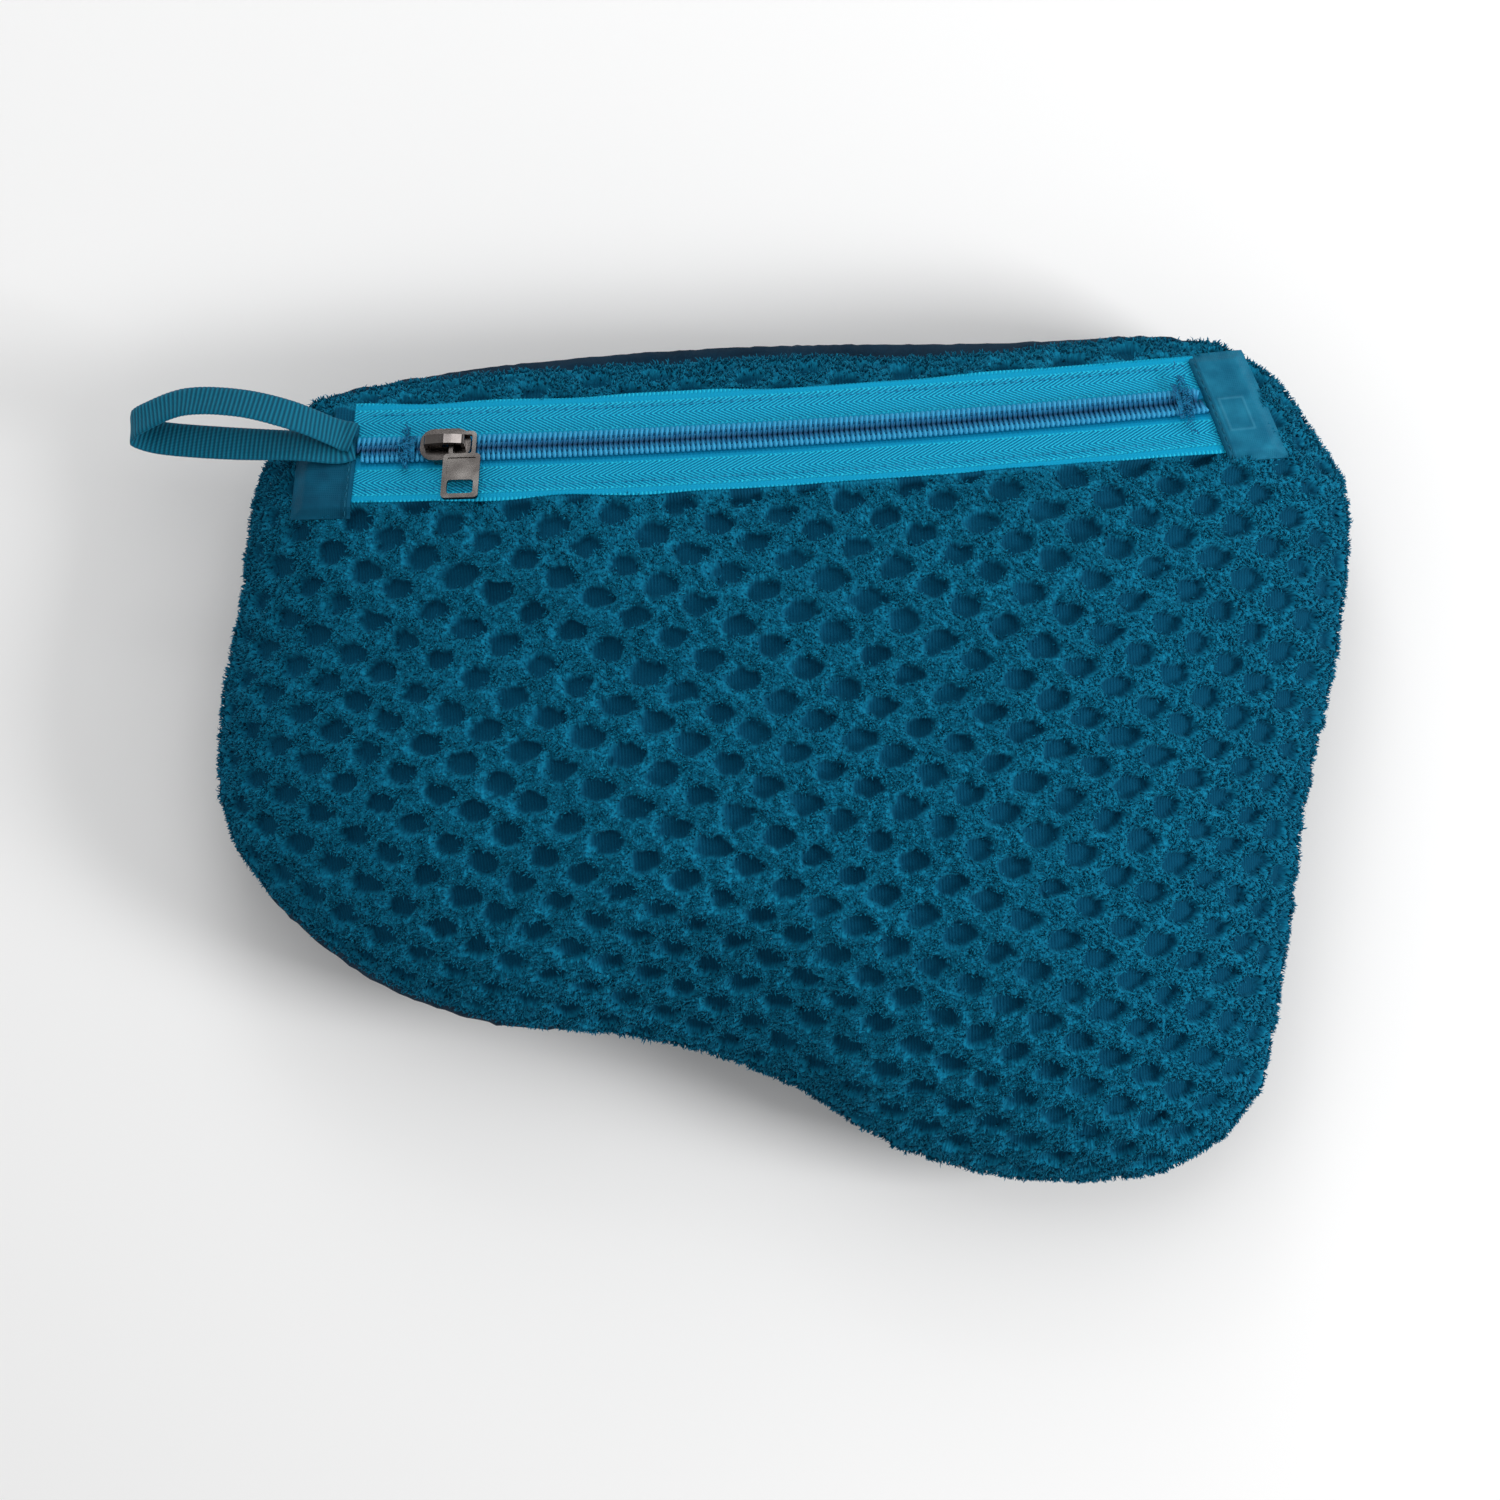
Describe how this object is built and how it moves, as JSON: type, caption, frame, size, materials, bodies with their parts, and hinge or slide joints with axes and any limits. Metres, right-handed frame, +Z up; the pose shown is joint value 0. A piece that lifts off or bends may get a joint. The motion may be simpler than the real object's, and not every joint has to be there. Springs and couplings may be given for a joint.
{
  "type": "packed camp blanket",
  "caption": "Camp blanket stuffed into its own zip pocket: deep fleece face, woven back, coil zip with a swivelling metal pull, and a webbing grab loop.",
  "frame": {"origin": "middle of the whole part's box in plan, at the table that its woven back lies on", "axes": "+X along the zip away from the grab loop, +Y across the face towards the zip edge, +Z up out of the fleece face"},
  "size_m": [0.3602, 0.2562, 0.082],
  "materials": {
    "fleece": "deep honeycomb pile, matt",
    "woven_shell": "fine ribbed weave, slight sheen",
    "zip_tape": "herringbone weave, matt",
    "zip_coil": "satin nylon",
    "sewing_thread": "twisted polyester",
    "tab_cloth": "fine plain weave, slight sheen",
    "webbing": "ribbed grosgrain, slight sheen",
    "gunmetal": "polished dark nickel",
    "spring_steel": "bright"
  },
  "bodies": {
    "root": {"front_panel": "fleece", "back_panel": "woven_shell", "seam_binding": "woven_shell", "seam_thread": "sewing_thread", "packed_blanket": "fleece", "zip_tape_upper": "zip_tape", "zip_tape_lower": "zip_tape", "zip_coil_upper": "zip_coil", "zip_coil_lower": "zip_coil", "tape_stitch_upper": "sewing_thread", "tape_stitch_lower": "sewing_thread", "bar_tack_loop_end": "sewing_thread", "bar_tack_far_end": "sewing_thread", "end_tab_far": "tab_cloth", "end_tab_loop": "tab_cloth", "end_tab_stitch_far": "sewing_thread", "loop_root": "webbing"},
    "slider": {"slider_body": "gunmetal", "slider_crown": "gunmetal", "slider_lock_spring": "spring_steel"},
    "pull": {"pull_tab": "gunmetal"},
    "loop": {"grab_loop": "webbing"}
  },
  "joints": [
    {"name": "slider_travel", "type": "hinge", "parent": "root", "child": "slider", "pos_m": [0.01202, 0.30681, -0.6415], "axis": [0, 0.9593, 0.2825], "range_deg": [0, 15.9], "deforming": ["zip_coil_upper", "zip_coil_lower"]},
    {"name": "pull_swivel", "type": "hinge", "parent": "slider", "child": "pull", "pos_m": [-0.08111, 0.10167, 0.06626], "axis": [-0.0953, 0.4672, 0.879], "range_deg": [-30, 95]},
    {"name": "loop_lift", "type": "hinge", "parent": "root", "child": "loop", "pos_m": [-0.1191, 0.1086, 0.0624], "axis": [0, 0.8851, -0.4654], "range_deg": [0, 85]}
  ]
}
